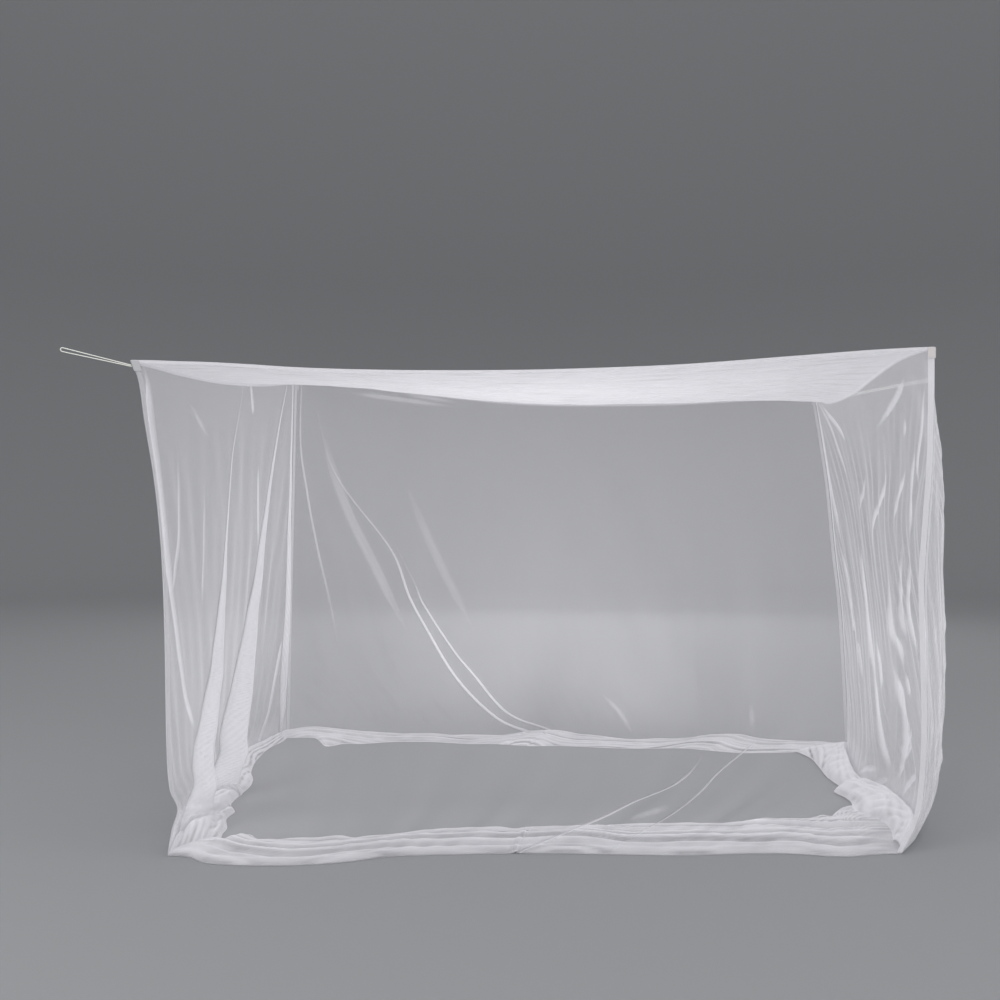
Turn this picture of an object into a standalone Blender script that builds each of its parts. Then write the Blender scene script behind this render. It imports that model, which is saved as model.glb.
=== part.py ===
"""Mosquito net canopy: a box of fine netting hung by its four top corners.

The net is a roof panel and four wall panels sewn edge to edge, with a patch sewn over each
top corner and thin ties drawn from two of them. The walls hang to the ground, and the cloth
left over is turned in there as a low gathered hem.

Metres, +Z up. The origin is on the ground in the middle of the net's outline, the front wall
faces -Y. Walls run anticlockwise seen from above, so the inside is on the left of each one.
Places along a wall are shares of its length, and places down it shares of its drop.
"""

import math
from collections import namedtuple

import bmesh
import bpy
from mathutils import Vector

# ------------------------------------------------------------------ driving sizes
CLOTH = 0.0015  # thickness of every sheet of netting
GAP = 0.0003  # clearance kept between pieces that are sewn together
SEAM_INSET = 0.0015  # how far a wall's end stays back from the corner line
SEAM_SLACK = 0.0012  # room under the roof's rim for the straight spans of its curved edge
SEAM_DROP = CLOTH / 2 + SEAM_SLACK  # how far a wall's top edge lies under the roof's middle layer
WAIST_SKEW = 0.68  # below 1, a corner line is drawn in most above its middle

Corner = namedtuple("Corner", "x y z foot_x foot_y hem_x hem_y waist_x waist_y")
CORNERS = {
    "front_left": Corner(-1.132, -0.811, 1.277, -1.030, -0.820, -0.935, -0.655, 0.036, 0.012),
    "front_right": Corner(0.942, -0.811, 1.311, 0.870, -0.800, 0.800, -0.670, 0.010, 0.000),
    "back_right": Corner(1.009, 0.610, 1.311, 1.140, 0.620, 0.900, 0.470, 0.050, -0.010),
    "back_left": Corner(-0.957, 0.610, 1.371, -1.036, 0.880, -0.970, 0.700, 0.000, 0.000),
}

# sag: top edge below the straight line between its corners. belly: bulge outwards at half
# height. foot: ground line outside the straight line between its corners. hem: inner edge
# of the turned-in cloth past the straight line between its corners.
Station = namedtuple("Station", "along sag belly foot hem")
# A pleat's place along the wall at four heights, the share of the drop where it starts, how
# deep it stands in from the wall at the ground, its mouth's width and how far its crest
# would lean along the wall there, had it not to lie straight on the ground.
Pleat = namedtuple("Pleat", "top upper lower foot start depth mouth lean")
PLEAT_HEIGHTS = (0.0, 0.35, 0.70, 1.0)  # shares of the drop of a Pleat's four places
Wall = namedtuple("Wall", "name begin end stations pleats")

WALLS = (
    Wall(
        "wall_front",
        "front_left",
        "front_right",
        (
            Station(0.00, 0.000, 0.000, 0.000, 0.000),
            Station(0.05, 0.004, 0.002, 0.058, 0.018),
            Station(0.11, 0.010, 0.006, 0.087, -0.004),
            Station(0.20, 0.025, 0.010, 0.080, 0.024),
            Station(0.27, 0.033, 0.010, 0.040, 0.046),
            Station(0.34, 0.038, 0.006, 0.003, 0.094),
            Station(0.50, 0.042, -0.004, -0.012, 0.122),
            Station(0.70, 0.033, -0.004, 0.010, 0.160),
            Station(0.83, 0.017, 0.004, -0.004, 0.212),
            Station(0.92, 0.006, 0.004, 0.028, 0.250),
            Station(0.94, 0.004, 0.003, 0.024, 0.235),
            Station(0.98, 0.001, 0.001, 0.008, 0.040),
            Station(1.00, 0.000, 0.000, 0.000, 0.000),
        ),
        (
            Pleat(0.16, 0.13, 0.10, 0.08, 0.55, 0.016, 0.040, 0.000),
            Pleat(0.44, 0.42, 0.39, 0.35, 0.70, 0.014, 0.050, 0.012),
            Pleat(0.70, 0.70, 0.67, 0.60, 0.66, 0.022, 0.050, 0.016),
            Pleat(0.955, 0.955, 0.955, 0.960, 0.30, 0.018, 0.030, 0.000),
        ),
    ),
    Wall(
        "wall_right",
        "front_right",
        "back_right",
        (
            Station(0.00, 0.000, 0.000, 0.000, 0.000),
            Station(0.10, 0.000, 0.070, 0.040, -0.018),
            Station(0.25, 0.002, 0.100, 0.073, -0.032),
            Station(0.40, 0.018, 0.090, 0.060, -0.048),
            Station(0.55, 0.038, 0.070, -0.010, -0.052),
            Station(0.70, 0.045, 0.050, -0.043, -0.030),
            Station(0.85, 0.040, 0.030, -0.035, -0.026),
            Station(1.00, 0.000, 0.000, 0.000, 0.000),
        ),
        (
            Pleat(0.12, 0.14, 0.16, 0.17, 0.05, 0.030, 0.060, 0.010),
            Pleat(0.26, 0.28, 0.29, 0.29, 0.05, 0.034, 0.060, 0.000),
            Pleat(0.44, 0.43, 0.42, 0.40, 0.12, 0.034, 0.056, 0.012),
            Pleat(0.63, 0.61, 0.57, 0.50, 0.20, 0.044, 0.056, -0.014),
            Pleat(0.80, 0.75, 0.70, 0.62, 0.10, 0.034, 0.056, 0.000),
            Pleat(0.91, 0.85, 0.80, 0.74, 0.04, 0.030, 0.050, -0.010),
            Pleat(0.975, 0.940, 0.905, 0.870, 0.02, 0.026, 0.050, 0.000),
        ),
    ),
    Wall(
        "wall_back",
        "back_right",
        "back_left",
        (
            Station(0.00, 0.000, 0.000, 0.000, 0.000),
            Station(0.08, 0.016, 0.004, 0.020, 0.030),
            Station(0.18, 0.035, 0.008, 0.090, 0.010),
            Station(0.29, 0.048, 0.008, 0.022, -0.005),
            Station(0.41, 0.056, 0.004, -0.030, 0.005),
            Station(0.51, 0.059, 0.000, 0.075, 0.005),
            Station(0.62, 0.056, -0.006, 0.017, 0.002),
            Station(0.74, 0.046, -0.010, -0.015, -0.030),
            Station(0.84, 0.031, -0.010, 0.015, 0.045),
            Station(0.91, 0.018, -0.006, 0.026, 0.085),
            Station(1.00, 0.000, 0.000, 0.000, 0.000),
        ),
        (
            Pleat(0.12, 0.13, 0.14, 0.15, 0.45, 0.024, 0.060, 0.000),
            Pleat(0.34, 0.33, 0.32, 0.31, 0.55, 0.018, 0.060, 0.000),
            Pleat(0.935, 0.850, 0.690, 0.560, 0.16, 0.022, 0.060, -0.020),
            Pleat(0.962, 0.890, 0.745, 0.630, 0.10, 0.026, 0.060, -0.020),
            Pleat(0.985, 0.962, 0.915, 0.860, 0.05, 0.016, 0.040, 0.000),
        ),
    ),
    Wall(
        "wall_left",
        "back_left",
        "front_left",
        (
            Station(0.00, 0.000, 0.000, 0.000, 0.000),
            Station(0.13, 0.013, 0.000, 0.049, -0.020),
            Station(0.31, 0.026, -0.004, 0.064, -0.065),
            Station(0.47, 0.030, -0.006, 0.067, -0.058),
            Station(0.60, 0.029, -0.004, 0.060, -0.030),
            Station(0.78, 0.019, 0.000, 0.043, -0.020),
            Station(0.90, 0.008, 0.000, 0.020, -0.010),
            Station(1.00, 0.000, 0.000, 0.000, 0.000),
        ),
        (
            Pleat(0.020, 0.030, 0.090, 0.200, 0.45, 0.024, 0.040, 0.000),
            Pleat(0.075, 0.190, 0.350, 0.480, 0.06, 0.104, 0.110, 0.000),
            Pleat(0.380, 0.500, 0.640, 0.720, 0.14, 0.070, 0.086, 0.000),
            Pleat(0.920, 0.910, 0.870, 0.820, 0.03, 0.022, 0.036, 0.000),
        ),
    ),
)

# ------------------------------------------------------------------ sheet layout
DROP_ROWS = (0.0, 0.022, 0.08, 0.17, 0.28, 0.40, 0.52, 0.64, 0.76, 0.86, 0.93, 0.975, 1.0)
WIDEST_SPAN = 0.08  # widest plain strip of wall between two columns, as a share
MOUTH_AT_TOP = 0.35  # a pleat's mouth at the top edge, as a share of its mouth at the ground
CREST = 0.30  # half width of a pleat's flat crest, as a share of its half mouth
SWELL = 1.35  # how a pleat's depth grows from its start to the ground
UPRIGHT_FROM = 0.62  # share of the drop from which a leaning pleat comes upright again
# The turned-in cloth, from the ground line to its inner edge: share of its width, and
# height as a share of the gathers' height there.
Fold = namedtuple("Fold", "across height")
HEM_FOLDS = (
    Fold(0.14, 0.0),
    Fold(0.34, 1.0),
    Fold(0.52, 0.25),
    Fold(0.74, 0.80),
    Fold(1.00, 0.0),
)
GATHER_HEIGHT = 0.022
GATHER_SLOPE = 0.34  # the most a gather rises, as a share of the room square to the wall
NARROWEST_HEM = 0.035  # the least cloth turned in, past the crest of a pleat

ROOF_COLUMNS = 30
ROOF_ROWS = 14
ROOF_SAG = 0.018  # how far the middle hangs below the surface drawn through the edges
SIDE_FADE = 8  # how soon the left and right edges' sag fades into the roof; 1 fades evenly
BOWL_POWER = 0.7  # below 1, the sag is spread over a wider middle
# A soft crease across the roof: its ends as shares along the front and back edges, its
# height (+) or depth (-) and its half width as a share of the roof's length.
Crease = namedtuple("Crease", "front back height half_width")
ROOF_CREASES = (
    Crease(0.10, 0.34, -0.005, 0.09),
    Crease(0.42, 0.66, 0.004, 0.08),
    Crease(0.94, 0.74, -0.006, 0.09),
)

PATCH_LEG = 0.018  # how far a corner patch runs along each wall
PATCH_SLACK = 0.0003  # room for the wall's bend under a patch
PATCH_OFFSET = CLOTH + 2 * GAP + PATCH_SLACK  # its middle layer, out from the wall's

TIE = 0.0025  # diameter of the tie cord
TIE_PITCH = TIE + 3 * GAP  # distance between the two strands where they leave the patch
# Where a doubled tie ends, in a narrow loop, how wide that loop is and the points a strand
# has.
Tie = namedtuple("Tie", "corner far_x far_y far_z loop points")
TIES = (
    Tie("front_left", -1.302, -0.830, 1.301, 0.0100, 26),
    Tie("back_right", 1.455, 0.640, 1.380, 0.0090, 34),
)
LOOP_POINTS = 8

# ------------------------------------------------------------------ colours
NETTING = ("netting", (0.80, 0.79, 0.83, 1.0), 0.85)
PATCH_TAPE = ("patch_tape", (0.82, 0.79, 0.79, 1.0), 0.75)
TIE_CORD = ("tie_cord", (0.74, 0.76, 0.70, 1.0), 0.65)


# ------------------------------------------------------------------ plain maths
def ease(t):
    """Smooth step from 0 to 1."""
    t = min(max(t, 0.0), 1.0)
    return t * t * (3 - 2 * t)


def smooth_through(places, values, t):
    """A smooth curve through values at rising places, read at t."""
    if t <= places[0]:
        return values[0]
    if t >= places[-1]:
        return values[-1]
    i = max(k for k in range(len(places) - 1) if places[k] <= t)
    lower, upper = max(i - 1, 0), min(i + 2, len(places) - 1)
    span = places[i + 1] - places[i]
    leave = (values[i + 1] - values[lower]) / (places[i + 1] - places[lower]) * span
    reach = (values[upper] - values[i]) / (places[upper] - places[i]) * span
    s = (t - places[i]) / span
    return (
        values[i] * (2 * s**3 - 3 * s**2 + 1)
        + leave * (s**3 - 2 * s**2 + s)
        + values[i + 1] * (3 * s**2 - 2 * s**3)
        + reach * (s**3 - s**2)
    )


def station_value(wall, column, along):
    """One column of a wall's stations, read at a place along it."""
    places = [s.along for s in wall.stations]
    return smooth_through(places, [getattr(s, column) for s in wall.stations], along)


def corner_line(corner, down):
    """A point on the vertical seam at a corner, down a share of the drop."""
    drawn_in = math.sin(math.pi * down**WAIST_SKEW)
    return Vector(
        (
            corner.x + (corner.foot_x - corner.x) * down + corner.waist_x * drawn_in,
            corner.y + (corner.foot_y - corner.y) * down + corner.waist_y * drawn_in,
            corner.z * (1 - down),
        )
    )


def inward_of(wall):
    """The level direction from a wall into the net, square to its top edge."""
    a, b = CORNERS[wall.begin], CORNERS[wall.end]
    return Vector((a.y - b.y, b.x - a.x, 0)).normalized()


def along_of(wall):
    """The level direction of a wall, from its beginning to its end."""
    inward = inward_of(wall)
    return Vector((inward.y, -inward.x, 0))


# ------------------------------------------------------------------ walls
def edge_point(wall, along):
    """A point on the seam between a wall and the roof."""
    a, b = CORNERS[wall.begin], CORNERS[wall.end]
    point = Vector((a.x, a.y, a.z)).lerp(Vector((b.x, b.y, b.z)), along)
    point.z -= station_value(wall, "sag", along)
    return point


def hanging_point(wall, along, down):
    """A point on a wall's plain surface, without its pleats."""
    a, b = CORNERS[wall.begin], CORNERS[wall.end]
    point = corner_line(a, down).lerp(corner_line(b, down), along)
    outward = station_value(wall, "belly", along) * math.sin(math.pi * down)
    outward += station_value(wall, "foot", along) * down**2
    point -= inward_of(wall) * outward
    point.z -= station_value(wall, "sag", along) * (1 - down)
    return point


def pleat_growth(pleat, down):
    """How much of its full depth a pleat has at a share of the drop."""
    return max(0.0, (down - pleat.start) / (1 - pleat.start)) ** SWELL


def wall_columns(wall):
    """Each column as (pleat or None, side, crest share): plain ones hold their places."""
    length = (edge_point(wall, 1.0) - edge_point(wall, 0.0)).length
    columns = []

    def plain(lower, upper):
        """Even columns between two columns that lie further apart than WIDEST_SPAN."""
        widest = max(b - a for a, b in zip(lower, upper))
        count = max(math.ceil(widest / WIDEST_SPAN), 1)
        for k in range(1, count):
            share = k / count
            columns.append((tuple(a + (b - a) * share for a, b in zip(lower, upper)), None, 0))

    last = (0.0,) * len(PLEAT_HEIGHTS)
    columns.append((last, None, 0))
    for pleat in sorted(wall.pleats, key=lambda p: p.top):
        centre = (pleat.top, pleat.upper, pleat.lower, pleat.foot)
        for step, side in enumerate((-1.0, -CREST, CREST, 1.0)):
            places = tuple(
                c + side * pleat.mouth / 2 / length * (MOUTH_AT_TOP + (1 - MOUTH_AT_TOP) * down)
                for c, down in zip(centre, PLEAT_HEIGHTS)
            )
            if step == 0:
                plain(last, places)
            columns.append((places, pleat, 1.0 if abs(side) < 1 else 0.0))
            last = places
    plain(last, (1.0,) * len(PLEAT_HEIGHTS))
    columns.append(((1.0,) * len(PLEAT_HEIGHTS), None, 0))
    return columns


def seam_inset(wall, column, count, down):
    """The small shift that keeps a wall's end clear of the next wall."""
    if 0 < column < count:
        return Vector((0, 0, 0))
    corner, sign = (CORNERS[wall.begin], 1) if column == 0 else (CORNERS[wall.end], -1)
    if down < 1.0:
        return along_of(wall) * SEAM_INSET * sign
    mitre = Vector((corner.hem_x - corner.foot_x, corner.hem_y - corner.foot_y, 0)).normalized()
    return Vector((mitre.y, -mitre.x, 0)) * SEAM_INSET * sign


def hem_way(wall, along):
    """The level way from the plain ground line to the turned-in cloth's inner edge."""
    a, b = CORNERS[wall.begin], CORNERS[wall.end]
    inner = Vector((a.hem_x, a.hem_y, 0)).lerp(Vector((b.hem_x, b.hem_y, 0)), along)
    inner += inward_of(wall) * station_value(wall, "hem", along)
    foot = hanging_point(wall, along, 1.0)
    return inner - Vector((foot.x, foot.y, 0))


def wall_point(wall, column, down):
    """A point of a wall's drop, with the pleats, at one of its columns.

    At the ground a pleat stands in along the way its own turned-in cloth lies.
    """
    places, pleat, crest = column
    point = hanging_point(wall, smooth_through(PLEAT_HEIGHTS, places, down), down)
    if pleat:
        inward = inward_of(wall)
        growth = crest * pleat_growth(pleat, down)
        upright = ease((down - UPRIGHT_FROM) / (1 - UPRIGHT_FROM))
        way = hem_way(wall, places[-1])
        point += inward.lerp(way / way.dot(inward), upright) * pleat.depth * growth
        point += along_of(wall) * pleat.lean * growth * (1 - upright)
    point.z = max(point.z, CLOTH / 2)
    return point


def hem_reach(wall, column):
    """The level way from a column's foot, out on its pleat, to the cloth's inner edge."""
    places, pleat, crest = column
    way = hem_way(wall, places[-1])
    width = way.dot(inward_of(wall))
    if not pleat:
        return way
    return way / width * max(width - pleat.depth * crest, NARROWEST_HEM)


def hem_rise(feet, reaches, i):
    """How high the turned-in cloth gathers at a column, from its room beside its neighbours."""
    inner = [foot + reach for foot, reach in zip(feet, reaches)]
    beside = [k for k in (i - 1, i + 1) if 0 <= k < len(feet)]
    sides = [edge[k] - edge[i] for edge in (feet, inner) for k in beside]
    room = min(abs(side.cross(reaches[i]).z) / side.length for side in sides)
    return min(GATHER_HEIGHT, GATHER_SLOPE * room)


def wall_sheet(wall):
    """A wall's middle layer as a grid: its drop, then the cloth turned in on the ground."""
    columns = wall_columns(wall)
    last = len(columns) - 1
    feet = [wall_point(wall, column, 1.0) for column in columns]
    reaches = [hem_reach(wall, column) for column in columns]

    def place(i, j):
        """The point of column i and row j."""
        if j < len(DROP_ROWS):
            point = wall_point(wall, columns[i], DROP_ROWS[j])
            point += seam_inset(wall, i, last, DROP_ROWS[j])
            return point - Vector((0, 0, SEAM_DROP if j == 0 else 0))
        fold = HEM_FOLDS[j - len(DROP_ROWS)]
        point = feet[i] + reaches[i] * fold.across + seam_inset(wall, i, last, 1.0)
        point.z += hem_rise(feet, reaches, i) * fold.height
        return point

    rows = len(DROP_ROWS) + len(HEM_FOLDS) - 1
    return sheet_object(wall.name, last, rows, place, NETTING)


# ------------------------------------------------------------------ roof
def roof_point(along, back):
    """A point of the roof's middle layer, from its four edges, its sag and its creases."""
    front, right, rear, left = WALLS
    corners = [Vector((c.x, c.y, c.z)) for c in CORNERS.values()]
    west = edge_point(left, 1 - back) - corners[0].lerp(corners[3], back)
    east = edge_point(right, back) - corners[1].lerp(corners[2], back)
    point = edge_point(front, along).lerp(edge_point(rear, 1 - along), back)
    point += west * (1 - along) ** SIDE_FADE + east * along**SIDE_FADE
    bowl = math.sin(math.pi * along) * math.sin(math.pi * back)
    point.z -= ROOF_SAG * bowl**BOWL_POWER
    for crease in ROOF_CREASES:
        middle = crease.front + (crease.back - crease.front) * back
        closeness = 1 - abs(along - middle) / crease.half_width
        point.z += crease.height * ease(closeness) * math.sin(math.pi * back)
    return point


def roof_sheet():
    """The roof panel as a grid through its four sagging edges."""
    return sheet_object(
        "roof",
        ROOF_COLUMNS,
        ROOF_ROWS,
        lambda i, j: roof_point(i / ROOF_COLUMNS, j / ROOF_ROWS),
        NETTING,
    )


# ------------------------------------------------------------------ corner patches and ties
def patch_sheet(index):
    """The patch folded round the outside of a top corner, from one wall to the next."""
    ending, starting = WALLS[index - 1], WALLS[index]
    bends = (
        (ending, PATCH_LEG),
        (ending, PATCH_LEG / 2),
        (ending, 0.0),
        (starting, 0.0),
        (starting, PATCH_LEG / 2),
        (starting, PATCH_LEG),
    )

    def place(i, j):
        """The point of bend i, at the top or at the bottom of the patch."""
        wall, leg = bends[i]
        share = leg / (edge_point(wall, 1.0) - edge_point(wall, 0.0)).length
        point = hanging_point(wall, 1 - share if wall is ending else share, DROP_ROWS[j])
        point -= inward_of(wall) * PATCH_OFFSET
        return point - Vector((0, 0, SEAM_DROP if j == 0 else 0))

    return sheet_object(f"patch_{starting.begin}", len(bends) - 1, 1, place, PATCH_TAPE)


def tie_cord(tie):
    """A doubled cord from a corner patch to a narrow loop and back, as one open tube."""
    corner = CORNERS[tie.corner]
    top = corner_line(corner, 0.0) - Vector((0, 0, SEAM_DROP))
    low = corner_line(corner, DROP_ROWS[1])
    far = Vector((tie.far_x, tie.far_y, tie.far_z))
    run = (far - top).normalized()
    away = Vector((run.x, run.y, 0)).normalized()
    wall = next(w for w in WALLS if w.end == tie.corner)
    face = (low - top).cross(along_of(wall)).normalized()
    cap_tilt = math.sqrt(1 - run.dot(face) ** 2)
    clear = (PATCH_OFFSET + CLOTH / 2 + GAP + TIE / 2 * cap_tilt) / away.dot(face)

    def strand(side):
        """The points of one strand, from the patch to the loop."""
        half = (low.z - top.z) / 2 + side * TIE_PITCH / 2
        start = top.lerp(low, half / (low.z - top.z)) + away * clear
        end = far + Vector((0, 0, side * tie.loop / 2))
        return [start.lerp(end, k / (tie.points - 1)) for k in range(tie.points)]

    points = strand(1)
    for k in range(1, LOOP_POINTS):
        turn = math.pi * k / LOOP_POINTS
        rise = Vector((0, 0, tie.loop / 2 * math.cos(turn)))
        points.append(far + run * tie.loop / 2 * math.sin(turn) + rise)
    points += reversed(strand(-1))
    curve = bpy.data.curves.new(f"tie_{tie.corner}", "CURVE")
    curve.dimensions = "3D"
    curve.bevel_depth = TIE / 2
    curve.bevel_resolution = 2
    curve.use_fill_caps = True
    spline = curve.splines.new("POLY")
    spline.points.add(len(points) - 1)
    for target, point in zip(spline.points, points):
        target.co = (*point, 1.0)
    return add_object(f"tie_{tie.corner}", curve, TIE_CORD)


# ------------------------------------------------------------------ building
def sheet_object(name, columns, rows, place, finish):
    """A sheet of cloth: a flat grid whose points are placed, given its thickness."""
    bm = bmesh.new()
    bmesh.ops.create_grid(bm, x_segments=columns, y_segments=rows, size=0.5)
    for vert in bm.verts:
        i = round((vert.co.x + 0.5) * columns)
        j = round((vert.co.y + 0.5) * rows)
        vert.co = place(i, j)
    mesh = bpy.data.meshes.new(name)
    bm.to_mesh(mesh)
    bm.free()
    sheet = add_object(name, mesh, finish)
    thickness = sheet.modifiers.new("thickness", "SOLIDIFY")
    thickness.thickness = CLOTH
    thickness.offset = 0.0
    return sheet


def material(finish):
    """The Principled material of a finish, made once."""
    name, colour, roughness = finish
    found = bpy.data.materials.get(name)
    if found:
        return found
    made = bpy.data.materials.new(name)
    made.use_nodes = True
    shader = made.node_tree.nodes["Principled BSDF"]
    shader.inputs["Base Color"].default_value = colour
    shader.inputs["Roughness"].default_value = roughness
    shader.inputs["Metallic"].default_value = 0.0
    return made


def add_object(name, data, finish):
    """Put new data into the net's collection, with its material."""
    made = bpy.data.objects.new(name, data)
    data.materials.append(material(finish))
    bpy.data.collections["mosquito_net_canopy"].objects.link(made)
    return made


def main():
    """Build every piece of the net."""
    for old in list(bpy.data.objects):
        bpy.data.objects.remove(old, do_unlink=True)
    bpy.context.scene.collection.children.link(bpy.data.collections.new("mosquito_net_canopy"))
    roof_sheet()
    for wall in WALLS:
        wall_sheet(wall)
    for index in range(len(WALLS)):
        patch_sheet(index)
    for tie in TIES:
        tie_cord(tie)


main()
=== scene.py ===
"""Looks of the mosquito net canopy: sheer netting, its folds, seams, patches and ties.

Metres, +Z up, in the frame of the CAD model. Walls run anticlockwise seen from above, so the
inside of the net is on the left of each one. A place along a wall is a share of its length,
and a place down it a share of its drop. The tables of the walls give these shares in
thousandths, and small lengths in millimetres.
"""

import logging
import math
from dataclasses import dataclass
from enum import Enum
from typing import NamedTuple, Sequence

import bmesh
import bpy
import numpy as np
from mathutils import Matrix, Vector


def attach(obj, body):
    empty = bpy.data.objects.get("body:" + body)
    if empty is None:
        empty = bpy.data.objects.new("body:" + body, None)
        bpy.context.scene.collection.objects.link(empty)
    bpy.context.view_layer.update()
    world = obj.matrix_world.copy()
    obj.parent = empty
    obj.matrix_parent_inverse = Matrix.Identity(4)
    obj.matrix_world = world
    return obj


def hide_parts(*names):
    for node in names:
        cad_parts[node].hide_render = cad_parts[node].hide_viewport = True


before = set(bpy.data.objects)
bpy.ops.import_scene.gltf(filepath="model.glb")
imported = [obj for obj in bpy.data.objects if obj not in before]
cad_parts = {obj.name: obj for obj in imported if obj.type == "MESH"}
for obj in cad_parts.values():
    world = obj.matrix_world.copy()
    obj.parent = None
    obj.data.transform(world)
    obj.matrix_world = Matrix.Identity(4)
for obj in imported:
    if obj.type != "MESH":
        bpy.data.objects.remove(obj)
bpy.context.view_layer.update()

logging.basicConfig(level=logging.INFO, format="%(message)s")
LOG = logging.getLogger("mosquito_net")

Array = np.ndarray
Point = tuple[float, float, float]
Colour = tuple[float, float, float, float]
ROOT = "root"


class Held(Enum):
    """How a sheet of the net is held."""

    HUNG = "hung"


class Bands(Enum):
    """Which way the ribs of a tape or cord run."""

    LEVEL = "Z"
    DIAGONAL = "DIAGONAL"


class Corner(NamedTuple):
    """A corner of the net: its height, its seam's path and the turned-in cloth's corner."""

    z: float
    path: tuple[Point, ...]  # rows of down, x, y
    hem_x: float
    hem_y: float


class Station(NamedTuple):
    """A place along a wall: its top's sag, its belly and its foot's way out, in metres."""

    along: float
    sag: float
    belly: float
    foot: float


class FoldStation(NamedTuple):
    """A place down a fold: where it is, how deep and wide, and the layers it adds."""

    down: float
    along: float
    depth: float
    mouth: float
    layers: float


class Fold(NamedTuple):
    """A fold of a wall: its stations, and its crest's share of its mouth."""

    stations: tuple[FoldStation, ...]
    crest: float = 0.30


class Crease(NamedTuple):
    """A soft crease: its line of along and down, half width, rise, layers and fading ends."""

    line: tuple[tuple[float, float], ...]
    half_width: float
    rise: float
    layers: float
    fade: float  # share of the line over which each end dies out


class Drift(NamedTuple):
    """How far the ripples have drifted along a wall at a place down it, at both its ends."""

    down: float
    at_begin: float
    at_end: float


class Rim(NamedTuple):
    """A place along a turned-in cloth: how far its inner edge stands in, its pile and layers."""

    along: float
    reach: float
    pile: float
    layers: float


class Wave(NamedTuple):
    """One of the ripples that make cloth uneven: lengths in metres, height and phase."""

    length_u: float
    length_v: float
    height: float
    phase: float


class RoofCrease(NamedTuple):
    """A soft crease from the front of the roof to its back."""

    at_front: float
    at_back: float
    rise: float
    half_width: float


class Lamp(NamedTuple):
    """A square soft light: its place, the point that it faces, its size and its power."""

    name: str
    place: Point
    aim: Point
    size: float
    power: float


CORNERS: dict[str, Corner] = {
    "front_left": Corner(
        z=1.277,
        path=(
            (0.0, -1.132, -0.811), (0.02, -1.1225, -0.81), (0.045, -1.113, -0.808),
            (0.12, -1.1005, -0.804), (0.245, -1.075, -0.802), (0.384, -1.0568, -0.803),
            (0.562, -1.0465, -0.806), (0.794, -1.0388, -0.812), (0.87, -1.03, -0.812),
            (0.908, -1.013, -0.804), (0.945, -1.024, -0.814), (1.0, -1.0349, -0.82),
        ),
        hem_x=-0.935,
        hem_y=-0.655,
    ),
    "front_right": Corner(
        z=1.311,
        path=(
            (0.0, 0.942, -0.811), (0.2, 0.939, -0.81), (0.33, 0.928, -0.808),
            (0.46, 0.917, -0.806), (0.6, 0.921, -0.804), (0.74, 0.925, -0.802),
            (0.86, 0.918, -0.801), (0.93, 0.903, -0.8), (1.0, 0.858, -0.8),
        ),
        hem_x=0.862,
        hem_y=-0.716,
    ),
    "back_right": Corner(
        z=1.311,
        path=(
            (0.0, 1.009, 0.61), (0.13, 1.036, 0.606), (0.26, 1.06, 0.604), (0.44, 1.083, 0.605),
            (0.6, 1.107, 0.608), (0.8, 1.125, 0.614), (1.0, 1.14, 0.62),
        ),
        hem_x=0.9,
        hem_y=0.47,
    ),
    "back_left": Corner(
        z=1.371,
        path=((0.0, -0.957, 0.61), (0.5, -0.9965, 0.745), (1.0, -1.036, 0.88)),
        hem_x=-1.005,
        hem_y=0.738,
    ),
}


# ------------------------------------------------------------------ plain maths
TURN = 6.283  # the range of a wave's random phase
TILT_DRAW = (0.6, 1.4)  # the least share of the tilt that a wave gets, and the draw's spread
HEIGHT_DRAW = (0.6, 0.8)  # the same for its height


def through(places: Sequence[float], values: Sequence[float], at: Array) -> Array:
    """A smooth curve through values at rising places.

    Args:
        places: rising places, at least two.
        values: the value at each place.
        at: where the curve is read; places outside the range hold its end values.

    Returns:
        The curve's values, in the shape of at.
    """
    x = np.asarray(places, dtype=float)
    y = np.asarray(values, dtype=float)
    t = np.clip(np.asarray(at, dtype=float), x[0], x[-1])
    k = np.clip(np.searchsorted(x, t, side="right") - 1, 0, len(x) - 2)
    before, after = np.maximum(k - 1, 0), np.minimum(k + 2, len(x) - 1)
    span = x[k + 1] - x[k]
    leave = (y[k + 1] - y[before]) / (x[k + 1] - x[before]) * span
    reach = (y[after] - y[k]) / (x[after] - x[k]) * span
    s = (t - x[k]) / span
    start = y[k] * (2 * s**3 - 3 * s**2 + 1) + leave * (s**3 - 2 * s**2 + s)
    return start + y[k + 1] * (3 * s**2 - 2 * s**3) + reach * (s**3 - s**2)


def read(rows: Sequence[NamedTuple], column: str, at: Array) -> Array:
    """One named column of rows that begin with their place, read at other places."""
    return through([row[0] for row in rows], [getattr(row, column) for row in rows], at)


def ease(t: Array) -> Array:
    """Smooth step from 0 to 1."""
    t = np.clip(t, 0.0, 1.0)
    return t * t * (3 - 2 * t)


def ripples(u: Array, v: Array, waves: Sequence[Wave]) -> Array:
    """A sum of slanting waves.

    Args:
        u: places across the waves, in metres.
        v: places along them, in metres.
        waves: the waves.

    Returns:
        The height at each place, in metres.
    """
    total = np.zeros(np.broadcast(u, v).shape)
    for wave in waves:
        total += wave.height * np.sin(
            2 * math.pi * (u / wave.length_u + v / wave.length_v) + wave.phase
        )
    return total


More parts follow.
